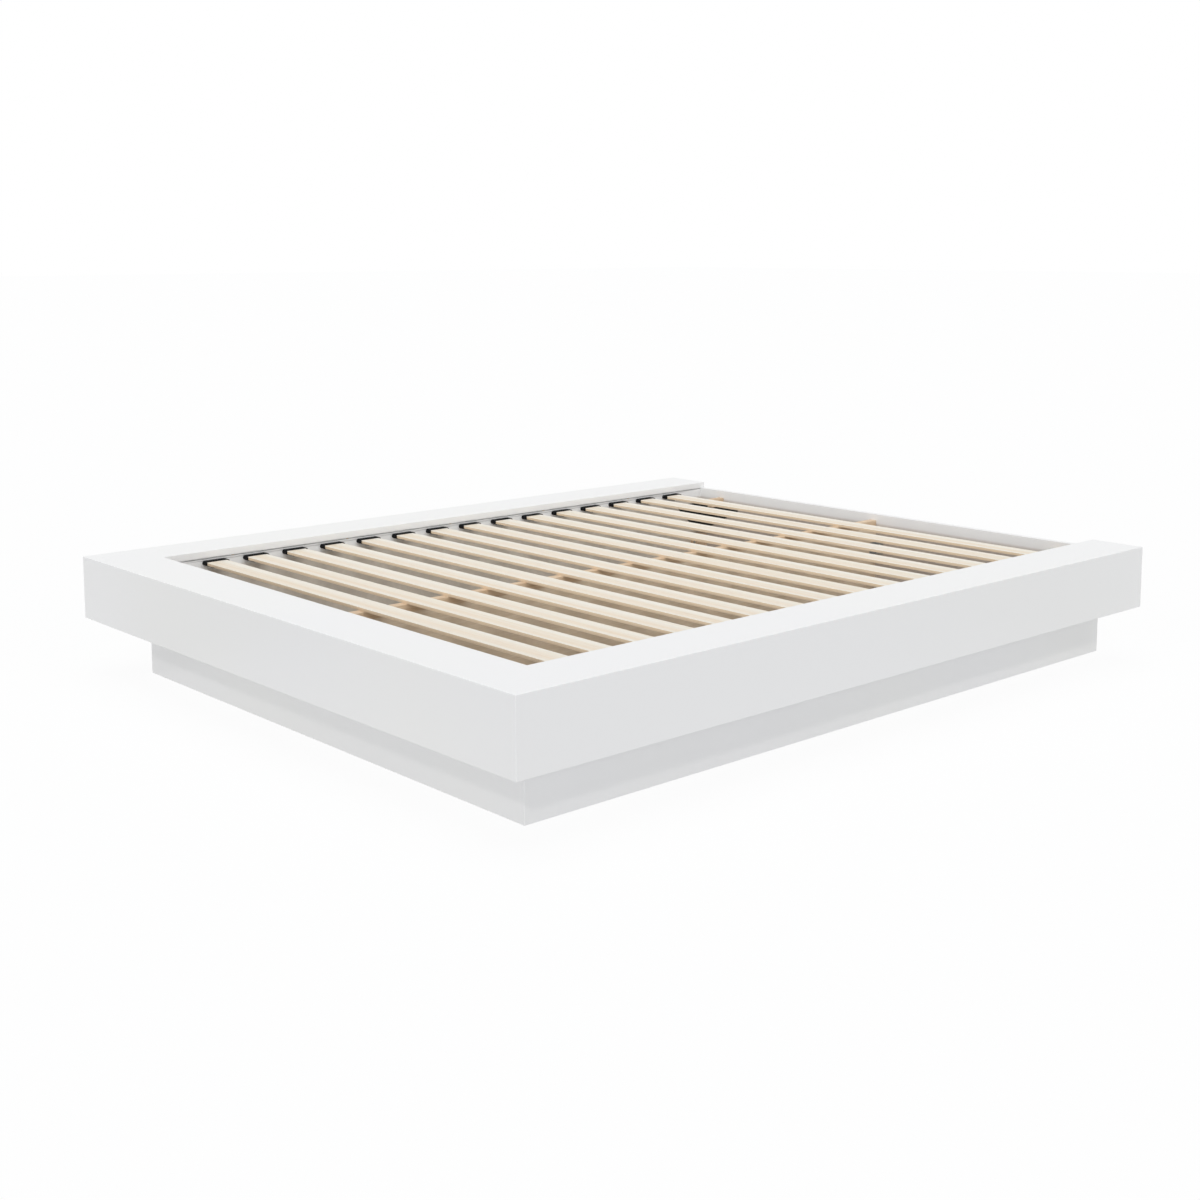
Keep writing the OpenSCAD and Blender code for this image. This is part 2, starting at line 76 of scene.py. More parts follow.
class Finish:
    """A material under construction: the main shader, and a way to add nodes in front of it."""

    def __init__(self, name, roughness, metallic=0.0, **settings):
        self.material = bpy.data.materials.new(name)
        self.material.use_nodes = True
        self.tree = self.material.node_tree
        self.shader = self.tree.nodes["Principled BSDF"]
        self.shader.inputs["Roughness"].default_value = roughness
        self.shader.inputs["Metallic"].default_value = metallic
        for socket, value in settings.items():
            self.shader.inputs[socket.replace("_", " ")].default_value = value
        self.place = self.add("ShaderNodeTexCoord").outputs["Object"]

    def add(self, kind, options=None, **inputs):
        """A new node with its options set and its inputs filled or linked. An input goes by its name, with _
        for each space, or as n0, n1 and so on by its number."""
        made = self.tree.nodes.new(kind)
        for option, value in (options or {}).items():
            setattr(made, option, value)
        for name, value in inputs.items():
            by_number = name[0] == "n" and name[1:].isdigit()
            socket = made.inputs[int(name[1:]) if by_number else name.replace("_", " ")]
            if isinstance(value, bpy.types.NodeSocket):
                self.tree.links.new(value, socket)
            else:
                socket.default_value = value
        return made

    def stretched(self, x, y, z):
        """The piece's own coordinates, multiplied along each axis: a large factor makes a pattern fine."""
        return self.add("ShaderNodeMapping", Vector=self.place, Scale=(x, y, z)).outputs["Vector"]

    def noise(self, where, scale, detail=2.0, roughness=0.5, distortion=0.0):
        """Smooth random values around 0.5, with the given number of bumps to the metre."""
        made = self.add("ShaderNodeTexNoise", Vector=where, Scale=scale, Detail=detail, Roughness=roughness,
                        Distortion=distortion)
        return made.outputs["Fac"]

    def ramp(self, value, stops):
        """A colour for each value: stops are (position, colour), with a smooth change between them."""
        made = self.add("ShaderNodeValToRGB", Fac=value)
        band = made.color_ramp
        while len(band.elements) < len(stops):
            band.elements.new(0.5)
        for element, (position, colour) in zip(band.elements, stops):
            element.position, element.color = position, colour
        return made.outputs["Color"]

    def math(self, operation, *values):
        """One step of arithmetic on single values."""
        inputs = {f"n{number}": value for number, value in enumerate(values)}
        return self.add("ShaderNodeMath", {"operation": operation}, **inputs).outputs["Value"]

    def blend(self, share, first, second, kind="MIX"):
        """A mix of two colours, with the given share of the second, or for MULTIPLY of their product."""
        made = self.add("ShaderNodeMix", {"data_type": "RGBA", "blend_type": kind})
        for index, value in ((0, share), (6, first), (7, second)):
            if isinstance(value, bpy.types.NodeSocket):
                self.tree.links.new(value, made.inputs[index])
            else:
                made.inputs[index].default_value = value
        return made.outputs[2]

    def scaled(self, value, low, high):
        """A value from 0 to 1 moved to the range low to high."""
        return self.add("ShaderNodeMapRange", Value=value, To_Min=low, To_Max=high).outputs["Result"]

    def finish(self, colour=None, roughness=None, height=None, depth=0.0, strength=1.0):
        """Links what varies over the surface: colour, roughness and relief, whose depth is in metres."""
        if colour is not None:
            self.tree.links.new(colour, self.shader.inputs["Base Color"])
        if roughness is not None:
            self.tree.links.new(roughness, self.shader.inputs["Roughness"])
        if height is not None:
            bump = self.add("ShaderNodeBump", Height=height, Distance=depth, Strength=strength)
            self.tree.links.new(bump.outputs["Normal"], self.shader.inputs["Normal"])
        print("finish:", self.material.name)
        return self.material


# %% [markdown]
# White lacquer
#
# The rim and plinth are board with a satin white lacquer. A single flat white would look like plastic.
# Sprayed lacquer has a very fine orange peel, a few hundredths of a millimetre deep, its sheen changes a
# little from place to place, and its white is not quite even over a metre or two. All three are noise at
# three very different scales.
#
# Nobody lacquers what a mattress hides. Below the slats, the faces that look across to the middle of the
# bed are only primed, in a duller and warmer white, and those that look along the bed are left a dull
# grey-brown. These darker colours are partly the unfinished board and partly painted shade under the slats.
# Such a face has a normal whose X, or Y, points against that of its position.


# %% White lacquer
def lacquer(name, whites, shaded_primers, shaded_raw_boards, fade_from, fade_to):
    """Satin lacquer between two near whites. Between the two heights it fades to the priming colours where
    n_x p_x < -0.05, and to the raw-board colours where n_y p_y < -0.05, for the normal n and the position p.
    Both are partly unfinished board and partly painted shade under the slats."""
    made = Finish(name, roughness=0.42)
    drift = made.noise(made.place, 1.4, detail=1.0)
    cloud = made.noise(made.place, 9.0, detail=2.0)
    tone = made.ramp(drift, [(0.35, whites[0]), (0.65, whites[1])])
    soft = made.blend(made.scaled(cloud, 0.0, 0.35), tone, whites[1])
    patches = made.noise(made.place, 55.0, detail=4.0)
    shaded_primer = made.ramp(patches, [(0.3, shaded_primers[0]), (0.7, shaded_primers[1])])
    shaded_bare_board = made.ramp(patches, [(0.3, shaded_raw_boards[0]), (0.7, shaded_raw_boards[1])])

    normal = made.add("ShaderNodeNewGeometry").outputs["Normal"]
    product = made.add("ShaderNodeVectorMath", {"operation": "MULTIPLY"}, n0=made.place, n1=normal)
    facing = made.add("ShaderNodeSeparateXYZ", Vector=product.outputs["Vector"])
    height = made.add("ShaderNodeSeparateXYZ", Vector=made.place).outputs["Z"]
    below = made.add("ShaderNodeMapRange", Value=height, From_Min=fade_from, From_Max=fade_to)
    primed_in_shade, bare_in_shade = (made.math("MULTIPLY", made.math("LESS_THAN", facing.outputs[axis], -0.05),
                              below.outputs["Result"]) for axis in "XY")
    hidden = made.math("MAXIMUM", primed_in_shade, bare_in_shade)

    sheen = made.scaled(made.noise(made.place, 35.0, detail=3.0), 0.36, 0.48)
    dull = made.math("MULTIPLY_ADD", hidden, 0.3, sheen)
    peel = made.noise(made.place, 420.0, detail=2.0)
    # Under the slats the colour turns to the priming and raw-board colours: partly unfinished board, partly
    # painted shade.
    colour = made.blend(bare_in_shade, made.blend(primed_in_shade, soft, shaded_primer), shaded_bare_board)
    return made.finish(colour=colour, roughness=dull, height=peel, depth=0.00004, strength=0.25)


slat_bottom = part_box("slat_01")[0].z
lacquer_ends, shaded_primer_begins = slat_bottom - 0.008, slat_bottom - 0.02
# The priming and raw-board colours are partly unfinished board and partly painted shade under the slats.
white_lacquer = lacquer("white_lacquer", whites=(screen(244, 244, 243), screen(243, 243, 244)),
                        shaded_primers=(screen(223, 215, 204), screen(214, 205, 193)),
                        shaded_raw_boards=(screen(200, 188, 179), screen(190, 178, 169)),
                        fade_from=lacquer_ends, fade_to=shaded_primer_begins)
print("inside, the lacquer fades from", round(lacquer_ends, 4), "m down to", round(shaded_primer_begins, 4), "m")

# %% [markdown]
# Wood
#
# Wood shows its growth rings cut open. Along the grain they run out into long streaks, so a streak pattern
# is plain noise that is stretched a lot in the direction of the grain. Three layers make it believable:
# broad bands of early and late wood, fine fibres, and short dark pores.
#
# The slats are laminated from thin veneers. Their faces show pale veneer, and their edges show the layers
# as stripes. The stripes follow the height in the slat, and the surface normal says where there is an edge.


# %% Slat veneer
def slat_veneer(first, pitch):
    """Pale laminate with the grain along X, for slats at equal steps along Y. Across each slat, bands of
    cream and peach follow one another, at w = fract((y - y0) / pitch) * pitch / width. Noise makes them
    wander. On faces that look sideways, stripes at fixed heights show the layers, and painted shade makes
    the layers darker towards the bottom of the slat."""
    made = Finish("slat_veneer", roughness=0.5)
    low, high = first
    across = made.add("ShaderNodeSeparateXYZ", Vector=made.place)
    # A few whole steps more keep the value positive on every piece.
    whole_steps = 8
    steps = made.math("MULTIPLY_ADD", across.outputs["Y"], 1 / pitch, whole_steps - low.y / pitch)
    w = made.math("MULTIPLY", made.math("FRACT", steps), pitch / (high.y - low.y))
    wander = made.noise(made.stretched(0.7, 9, 4), 1.0, detail=2.0, distortion=0.2)
    w = made.math("ADD", w, made.scaled(wander, -0.22, 0.22))
    face = made.ramp(w, [(0.00, screen(243, 239, 231)), (0.12, screen(242, 236, 225)),
                         (0.28, screen(240, 229, 213)), (0.42, screen(240, 230, 214)),
                         (0.62, screen(242, 236, 225)), (0.84, screen(246, 244, 237)),
                         (1.00, screen(244, 240, 231))])
    grain = made.noise(made.stretched(1.1, 95, 40), 1.0, detail=3.0, roughness=0.6, distortion=0.4)
    streaks = made.ramp(grain, [(0.30, screen(251, 245, 236)), (0.46, screen(255, 255, 255)),
                                (0.58, screen(253, 249, 242)), (0.70, screen(248, 241, 229))])
    face = made.blend(0.85, face, streaks, "MULTIPLY")
    fibres = made.noise(made.stretched(7, 800, 300), 1.0, detail=3.0, roughness=0.6)
    face = made.blend(made.scaled(fibres, 0.0, 0.22), face, screen(230, 213, 188), "MULTIPLY")
    pores = made.noise(made.stretched(26, 1500, 700), 1.0, detail=1.0)
    dark_pore = made.ramp(pores, [(0.30, screen(196, 168, 132)), (0.36, screen(255, 255, 255))])
    face = made.blend(0.3, face, dark_pore, "MULTIPLY")

    level = made.add("ShaderNodeMapRange", Value=across.outputs["Z"], From_Min=low.z, From_Max=high.z)
    pale, glue = screen(243, 225, 200), screen(208, 184, 152)
    # The glue lines between the layers are real. The layers getting darker from the top of the slat's edge
    # down to its bottom is painted shade.
    layers = made.ramp(level.outputs["Result"], [
        (0.00, screen(236, 215, 187)), (0.30, screen(239, 219, 192)), (0.33, glue), (0.37, pale),
        (0.63, pale), (0.67, glue), (0.71, screen(245, 226, 197)), (1.00, screen(246, 229, 202))])
    layers = made.blend(made.scaled(fibres, 0.0, 0.4), layers, screen(226, 204, 172), "MULTIPLY")
    normal = made.add("ShaderNodeNewGeometry").outputs["Normal"]
    upward = made.add("ShaderNodeSeparateXYZ", Vector=normal).outputs["Z"]
    is_face = made.add("ShaderNodeMapRange", Value=made.math("ABSOLUTE", upward), From_Min=0.2, From_Max=0.5)
    colour = made.blend(is_face.outputs["Result"], layers, face)
    return made.finish(colour=colour, roughness=made.scaled(fibres, 0.42, 0.6), height=fibres, depth=0.00008,
                       strength=0.5)


slat_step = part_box("slat_02")[0].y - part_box("slat_01")[0].y
veneer = slat_veneer(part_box("slat_01"), slat_step)
print("slats every", round(slat_step, 5), "m")


# %% Solid timber
def timber(name, along, light, dark):
    """Planed softwood with its grain along axis 0, 1 or 2, where the noise has only a small factor."""
    made = Finish(name, roughness=0.6)
    rings_by, fibres_by = [60.0, 60.0, 60.0], [900.0, 900.0, 900.0]
    rings_by[along], fibres_by[along] = 1.6, 9.0
    rings = made.noise(made.stretched(*rings_by), 1.0, detail=2.0, distortion=0.6)
    fibres = made.noise(made.stretched(*fibres_by), 1.0, detail=2.0)
    wood = made.ramp(rings, [(0.32, light), (0.50, dark), (0.56, light), (0.68, dark)])
    wood = made.blend(made.scaled(fibres, 0.0, 0.4), wood, dark, "MULTIPLY")
    return made.finish(colour=wood, roughness=made.scaled(fibres, 0.5, 0.7), height=fibres, depth=0.0001,
                       strength=0.5)


pine_light, pine_dark = screen(231, 210, 183), screen(214, 187, 156)
pine_along_bed = timber("pine_along_bed", 1, pine_light, pine_dark)
pine_upright = timber("pine_upright", 2, pine_light, pine_dark)
plywood = timber("plywood_along_bed", 1, screen(233, 218, 198), screen(224, 206, 182))


# %% Uncoated board inside the rim
def chipboard():
    """Pressed chips: cells a few millimetres across, each with its own tone."""
    made = Finish("raw_chipboard", roughness=0.8)
    chips = made.add("ShaderNodeTexVoronoi", Vector=made.stretched(1, 1, 1.7), Scale=260.0)
    tone = made.add("ShaderNodeSeparateColor", Color=chips.outputs["Color"]).outputs["Red"]
    colour = made.ramp(tone, [(0.0, screen(168, 142, 106)), (0.5, screen(196, 172, 134)),
                              (1.0, screen(214, 194, 160))])
    return made.finish(colour=colour, height=chips.outputs["Distance"], depth=0.0002, strength=0.4)


raw_chipboard = chipboard()

# %% [markdown]
# Plastic and metal
#
# The slat caps are moulded from black plastic, the brackets are steel with a black powder coat, and the
# screws are zinc plated. Moulded plastic copies a fine spark-eroded grain from its mould. Powder coat flows
# into soft bumps a millimetre or so across. Zinc has faint cloudy crystals that change its gloss.


# %% Black plastic, black steel and zinc
def moulded_plastic():
    """Black plastic with a grain of about 0.3 mm."""
    made = Finish("black_plastic", roughness=0.6, Specular_IOR_Level=0.1)
    grain = made.noise(made.place, 3200.0, detail=1.0)
    drift = made.noise(made.place, 60.0, detail=2.0)
    colour = made.ramp(drift, [(0.3, screen(9, 9, 12)), (0.7, screen(15, 15, 19))])
    return made.finish(colour=colour, roughness=made.scaled(drift, 0.5, 0.64), height=grain, depth=0.00004,
                       strength=0.4)


def powder_coat():
    """Black coat with soft bumps of about 1 mm."""
    made = Finish("black_powder_coat", roughness=0.5)
    bumps = made.noise(made.place, 900.0, detail=2.0)
    colour = made.ramp(bumps, [(0.3, screen(26, 25, 26)), (0.7, screen(36, 35, 36))])
    return made.finish(colour=colour, roughness=made.scaled(bumps, 0.42, 0.58), height=bumps, depth=0.00006,
                       strength=0.5)


def zinc():
    """Bright zinc with cloudy crystals."""
    made = Finish("zinc_plate", roughness=0.35, metallic=1.0)
    clouds = made.noise(made.place, 380.0, detail=3.0)
    colour = made.ramp(clouds, [(0.3, screen(176, 180, 186)), (0.7, screen(206, 207, 206))])
    return made.finish(colour=colour, roughness=made.scaled(clouds, 0.26, 0.46), height=clouds,
                       depth=0.00002, strength=0.3)


black_plastic, black_steel, zinc_steel = moulded_plastic(), powder_coat(), zinc()

# %% [markdown]
# Surfaces from arrays
#
# Nearly every piece of this bed is a profile carried along a straight line or round a corner. If the
# profile is a row of points, and it is repeated at several stations, the whole skin is one grid of points.
# Numpy works out such a grid in a few lines, and it is exact, so two boards that meet at a mitre share the
# same points.
#
# Each profile point also carries the direction in which the skin faces there. Near the end of a board the
# profile draws in against that direction, and that rounds the end over. Points on a hidden joint have no
# direction and stay put.


# %% Profiles
def arc(u, v, radius, start, end, steps=3):
    """Points (u, v) + radius (cos a, sin a), for a from start to end in degrees, with (cos a, sin a)."""
    a = np.radians(np.linspace(start, end, steps + 1))
    way = np.stack([np.cos(a), np.sin(a)], -1)
    return np.hstack([np.array([u, v]) + radius * way, way])


def joint(u, v):
    """A sharp corner on a hidden joint: it faces nowhere, so it never draws in."""
    return np.array([[u, v, 0.0, 0.0]])


def drawn_in(outline, inset):
    """The outline at each inset: point - inset * direction. One row for each inset."""
    return outline[None, :, :2] - np.asarray(inset)[:, None, None] * outline[None, :, 2:]


def quarter(radius, steps=3):
    """A rounded end. The way in from its tip is r (1 - cos t), and the profile's inset is r (1 - sin t)."""
    t = np.radians(np.linspace(0, 90, steps + 1))
    return radius * (1 - np.cos(t)), radius * (1 - np.sin(t))


print("points round a corner:", len(arc(0, 0, 1, 0, 90)))


# %% Skins over a grid of points
def skin(rings):
    """Closed skin over rings[i, j], which is point j of the profile at station i. Each face joins points j
    and j + 1 of stations i and i + 1, and the first and last profiles close the ends."""
    stations, count = rings.shape[:2]
    i, j = np.meshgrid(np.arange(stations - 1), np.arange(count), indexing="ij")
    k = (j + 1) % count
    sides = np.stack([i * count + j, (i + 1) * count + j, (i + 1) * count + k, i * count + k], -1)
    ends = [list(range(count)), list(range((stations - 1) * count, stations * count))]
    return rings.reshape(-1, 3), sides.reshape(-1, 4).tolist() + ends


def together(skins):
    """Several skins as one: the point numbers of each are moved past those before it."""
    points, faces, start = [], [], 0
    for p, f in skins:
        points.append(p)
        faces += [[start + n for n in face] for face in f]
        start += len(p)
    return np.concatenate(points), faces


def axes_across(axis):
    """The other two axes: a profile that is carried along the given axis lies in them."""
    return [n for n in range(3) if n != axis]


def plank(low, high, axis, radius):
    """A straight board from its low to its high corner along axis 0, 1 or 2, with all its edges rounded."""
    u_axis, v_axis = axes_across(axis)
    u0, u1, v0, v1 = low[u_axis] + radius, high[u_axis] - radius, low[v_axis] + radius, high[v_axis] - radius
    outline = np.vstack([arc(u1, v1, radius, 0, 90), arc(u0, v1, radius, 90, 180),
                         arc(u0, v0, radius, 180, 270), arc(u1, v0, radius, 270, 360)])
    way_in, inset = quarter(radius)
    profiles = drawn_in(outline, np.concatenate([inset, inset[::-1]]))
    rings = np.empty((*profiles.shape[:2], 3))
    rings[..., axis] = np.concatenate([low[axis] + way_in, high[axis] - way_in[::-1]])[:, None]
    rings[..., u_axis], rings[..., v_axis] = profiles[..., 0], profiles[..., 1]
    return skin(rings)


print("points on a board:", len(plank((0, 0, 0), (1, 1, 1), 0, 0.1)[0]))

# %% [markdown]
# A finished piece takes the place of one or more solids of the measured model. The next functions put a
# skin into a mesh, point its faces outwards, shade it smoothly except over sharp edges, hang the piece on
# the body that it moves with, and hide the solids that it stands for.


def settle(thing, nodes, finish, body="bed_frame"):
    """Puts a finished object into the scene, with its material and its body, and hides the solids it
    replaces.
    """
    bpy.context.scene.collection.objects.link(thing)
    thing.data.materials.clear()
    thing.data.materials.append(finish)
    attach(thing, body)
    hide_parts(*nodes)


def smooth(mesh, sharp_angle=30):
    """Smooth shading, except over edges that turn by more than the angle in degrees."""
    mesh.polygons.foreach_set("use_smooth", np.ones(len(mesh.polygons), bool))
    mesh.set_sharp_from_angle(angle=math.radians(sharp_angle))


def even_faces(thing):
    """Lets large faces decide the shading of the small ones that round their edges."""
    thing.modifiers.new("even_faces", "WEIGHTED_NORMAL").keep_sharp = True


def piece(name, shape, nodes, finish, body="bed_frame", sharp_angle=50):
    """A new object from (points, faces), merged, facing outwards, in the place of the named solids."""
    mesh = bpy.data.meshes.new(name)
    mesh.from_pydata(shape[0].tolist(), [], shape[1])
    work = bmesh.new()
    work.from_mesh(mesh)
    bmesh.ops.remove_doubles(work, verts=work.verts, dist=1e-6)
    bmesh.ops.dissolve_degenerate(work, edges=work.edges, dist=1e-6)
    bmesh.ops.recalc_face_normals(work, faces=work.faces)
    work.to_mesh(mesh)
    work.free()
    smooth(mesh, sharp_angle)
    thing = bpy.data.objects.new(name, mesh)
    settle(thing, nodes, finish, body)
    even_faces(thing)


print("solids that wait for a finish:", len(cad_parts))

# %% [markdown]
# The rim
#
# The rim is a box of boards. The flat top and the outer side meet in a long mitre at the outer edge, and at
# the foot corners the boards of two sides meet in another. In the photo no joint shows, because the lacquer
# goes over them. So each board gets only its share of a rounded edge, up to the mitre, and the boards meet
# without a line.
#
# A board of the rim is described by its profile: d is the distance in from the outer face, and z the
# height. At a foot corner, a line that lies at depth d turns about the corner's centre if d is less than
# the rounding radius, and otherwise turns at one point. One formula gives both.


# %% Sizes of the rim, from the measured model
deck_low, deck_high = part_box("left_deck_board")
side_x, inner_x = -deck_low.x, -deck_high.x
foot_y, head_y = deck_low.y, deck_high.y
deck_z, top_z, box_z = deck_low.z, deck_high.z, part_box("left_fascia")[0].z
# The thickness of a board, the width of the rim, and the radius of a rounded edge.
board = top_z - deck_z
rim = side_x - inner_x
edge = 0.0009
print("rim", round(rim, 4), "board", round(board, 4), "box", round(top_z - box_z, 4))


# %% Boards that turn the foot corners
def corner_plan(d, turn, x_outer, y_outer, radius):
    """Plan of lines at depths d that turn the foot corner, by angles a from 0 (side) to 90 (foot). With
    reach = max(r - d, 0) and depth = max(d, r), x = x_outer - depth + reach cos a, and
    y = y_outer + depth - reach sin a."""
    a = np.radians(np.asarray(turn, float))[:, None]
    reach, depth = np.maximum(radius - d, 0)[None], np.maximum(d, radius)[None]
    return x_outer - depth + reach * np.cos(a), y_outer + depth - reach * np.sin(a)


def side_board(outline, sign, x_outer, y_outer, y_end, radius):
    """Left (-1) or right (1) board: rounded over at the head end, and turned by 45 degrees to its mitre."""
    way_in, inset = quarter(radius)
    straight = drawn_in(outline, inset)
    rounded_y = np.broadcast_to(y_end - way_in[:, None], straight.shape[:2])
    head = np.stack([x_outer - straight[..., 0], rounded_y, straight[..., 1]], -1)
    x, y = corner_plan(outline[:, 0], [0, 15, 30, 45], x_outer, y_outer, radius)
    foot = np.stack([x, y, np.broadcast_to(outline[:, 1], x.shape)], -1)
    return skin(np.concatenate([head, foot]) * [sign, 1, 1])


def foot_board(outline, x_outer, y_outer, radius):
    """Foot board: from the left mitre to the right one, turning 45 degrees at each end."""
    x, y = corner_plan(outline[:, 0], [45, 60, 75, 90], x_outer, y_outer, radius)
    right = np.stack([x, y, np.broadcast_to(outline[:, 1], x.shape)], -1)
    return skin(np.concatenate([right * [-1, 1, 1], right[::-1]]))


print("rounding at the foot corners:", edge)

# %% The rim
# The top board: rounded at the inner edge, and its half of the rounded outer edge, up to the mitre.
deck_outline = np.vstack([
    arc(edge, top_z - edge, edge, 135, 90),
    arc(rim - edge, top_z - edge, edge, 90, 0),
    arc(rim - edge, deck_z + edge, edge, 0, -90),
    joint(board, deck_z),
])
# The outer board: the other half of that edge, and rounded at the bottom.
fascia_outline = np.vstack([
    arc(edge, top_z - edge, edge, 180, 135),
    joint(board, deck_z),
    joint(board, box_z),
    arc(edge, box_z + edge, edge, 270, 180),
])
for side, sign in (("left", -1), ("right", 1)):
    piece(f"{side}_rim_top", side_board(deck_outline, sign, side_x, foot_y, head_y, edge),
          [f"{side}_deck_board"], white_lacquer)
    piece(f"{side}_rim_side", side_board(fascia_outline, sign, side_x, foot_y, head_y, edge),
          [f"{side}_fascia"], white_lacquer)
piece("foot_rim_top", foot_board(deck_outline, side_x, foot_y, edge), ["foot_deck_board"], white_lacquer)
piece("foot_rim_side", foot_board(fascia_outline, side_x, foot_y, edge), ["foot_fascia"], white_lacquer)

# %% [markdown]
# The plinth and the head panel
#
# The plinth boards turn the foot corners in the same way, lower and further in. At the head the plinth
# board fits between the side boards, and the head panel closes the ends of the rim. Those are plain planks
# with eased edges.

# %% Plinth and head panel
plinth_low, plinth_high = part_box("left_plinth_board")
plinth_outline = np.vstack([
    joint(0.0, plinth_high.z),
    joint(board, plinth_high.z),
    arc(board - edge, edge, edge, 0, -90),
    arc(edge, edge, edge, -90, -180),
])
for side, sign in (("left", -1), ("right", 1)):
    shape = side_board(plinth_outline, sign, -plinth_low.x, plinth_low.y, plinth_high.y, edge)
    piece(f"{side}_plinth", shape, [f"{side}_plinth_board"], white_lacquer)
piece("foot_plinth", foot_board(plinth_outline, -plinth_low.x, plinth_low.y, edge), ["foot_plinth_board"],
      white_lacquer)
for name, node in (("head_plinth", "head_plinth_board"), ("head_board_panel", "head_panel")):
    low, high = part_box(node)
    piece(name, plank(low, high, 0, edge), [node], white_lacquer)

# %% [markdown]
# Slats, beam and cleats
#
# The slats are planed on all sides, with edges eased by a little less than a millimetre. The timber beam
# under them and the two short cleats at the head are rougher, and their edges are rounded twice as far.

# %% Slats and timber
slat_edge, timber_edge = 0.0008, 0.0016
slats = sorted(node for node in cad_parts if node.startswith("slat_"))
for node in slats:
    low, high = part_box(node)
    piece(f"{node}_laminate", plank(low, high, 0, slat_edge), [node], veneer)
timber_pieces = (("beam_timber", "centre_beam"), ("left_cleat_timber", "left_head_cleat"),
                 ("right_cleat_timber", "right_head_cleat"))
for name, node in timber_pieces:
    low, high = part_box(node)
    piece(name, plank(low, high, 1, timber_edge), [node], pine_along_bed)
print("slats:", len(slats), "timber pieces:", len(timber_pieces))

# %% [markdown]
# The groove in the inner rails
#
# In the photo a thin dark line runs round the opening, close under the board above. It is a groove in the
# inner rails, deeper than it is high, so that little light gets in.
#
# The measured rails have holes for their dowels, so they are copied and not built again. Their loose
# triangles are joined and each flat area becomes a single face. Then a boolean modifier takes a plain box
# away from the copy.


# %% Copies of solids
def joined_copy(name, node):
    """The mesh of a solid under a new name, with loose triangles joined and each flat area made one face."""
    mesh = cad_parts[node].data.copy()
    mesh.name = name
    work = bmesh.new()
    work.from_mesh(mesh)
    bmesh.ops.remove_doubles(work, verts=work.verts, dist=1e-6)
    bmesh.ops.dissolve_limit(work, angle_limit=math.radians(0.5), verts=work.verts, edges=work.edges)
    work.to_mesh(mesh)
    work.free()
    return mesh


def plain_box(name, low, high):
    """An object that fills the box from the low to the high corner."""
    mesh = bpy.data.meshes.new(name)
    work = bmesh.new()
    place = Matrix.Translation((low + high) / 2) @ Matrix.Diagonal((*(high - low), 1))
    bmesh.ops.create_cube(work, size=1.0, matrix=place)
    work.to_mesh(mesh)
    work.free()
    return bpy.data.objects.new(name, mesh)


def grooved(name, node, low, high, finish):
    """A copy of a solid, less the box from the low to the high corner."""
    block = bpy.data.objects.new("rail_block", joined_copy("rail_block", node))
    cutter = plain_box("groove_cutter", Vector(low), Vector(high))
    for helper in (block, cutter):
        bpy.context.scene.collection.objects.link(helper)
    cut = block.modifiers.new("groove", "BOOLEAN")
    cut.operation, cut.solver, cut.object = "DIFFERENCE", "EXACT", cutter
    mesh = bpy.data.meshes.new_from_object(block.evaluated_get(bpy.context.evaluated_depsgraph_get()))
    mesh.name = name
    for helper in (block, cutter):
        bpy.data.objects.remove(helper, do_unlink=True)
    smooth(mesh)
    settle(bpy.data.objects.new(name, mesh), [node], finish)
    print(name, "faces:", len(mesh.polygons))


# %% Grooved rails
groove_h, groove_deep = 0.003, 0.012
# The strip of rail that is left above the groove, and how far the box reaches past the face that it cuts.
strip, past = 0.0015, 0.001
groove_low, groove_high = deck_z - strip - groove_h, deck_z - strip
rail_x, rail_y = -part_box("left_inner_rail")[1].x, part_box("foot_inner_rail")[1].y
for side, sign in (("left", -1), ("right", 1)):
    from_x, to_x = sorted((sign * (rail_x - past), sign * (rail_x + groove_deep)))
    grooved(f"{side}_rail_grooved", f"{side}_inner_rail", (from_x, foot_y, groove_low),
            (to_x, head_y, groove_high), white_lacquer)
grooved("foot_rail_grooved", "foot_inner_rail", (-side_x, rail_y - groove_deep, groove_low),
        (side_x, rail_y + past, groove_high), white_lacquer)

# %% [markdown]
# Caps and brackets
#
# A slat cap is a small moulding with a pocket, a lip and a tongue. The measured solid already has that
# form, and only its edges are too sharp. Building it again from arrays would say nothing new, so it is
# copied too, and a bevel rounds what is sharp. The folded steel brackets are made in the same way, with a
# smaller radius.
#
# Where the small angles of the centre board would be seen, the photo shows nothing black. So they are
# plated with zinc, as their screws are.


# %% Softened copies of solids
def softened(name, node, width, finish):
    """A copy of a solid with its sharp edges rounded to the given width."""
    mesh = joined_copy(name, node)
    smooth(mesh)
    thing = bpy.data.objects.new(name, mesh)
    settle(thing, [node], finish)
    bevel = thing.modifiers.new("rounded_edges", "BEVEL")
    bevel.width, bevel.segments, bevel.limit_method = width, 2, "ANGLE"
    bevel.angle_limit, bevel.use_clamp_overlap = math.radians(40), True
    even_faces(thing)
    return thing


moulded_edge, folded_edge, pressed_edge = 0.0006, 0.0004, 0.0003
for side in ("left", "right"):
    softened(f"{side}_caps_moulded", f"{side}_slat_caps", moulded_edge, black_plastic)
    for end in ("head", "foot"):
        softened(f"{side}_{end}_bracket_coated", f"{side}_{end}_bracket", folded_edge, black_steel)
softened("centre_angles_plated", "centre_angles", pressed_edge, zinc_steel)

# %% [markdown]
# Bolts, screws and levelling feet
#
# Everything here has the form of a lathe's work: a profile carried round an axis. The same grid of points
# also makes what a lathe can't, if the radius changes with the angle. A hexagon socket has straight sides,
# a cross recess has four lobes, and a thread is a groove whose depth depends on the height, counted in
# pitches, minus the share of a full turn.
#
# Where each screw goes is read from the measured model. One node there holds many screws, so its solids are
# told apart first: points that share an edge get the same number, again and again until nothing changes.


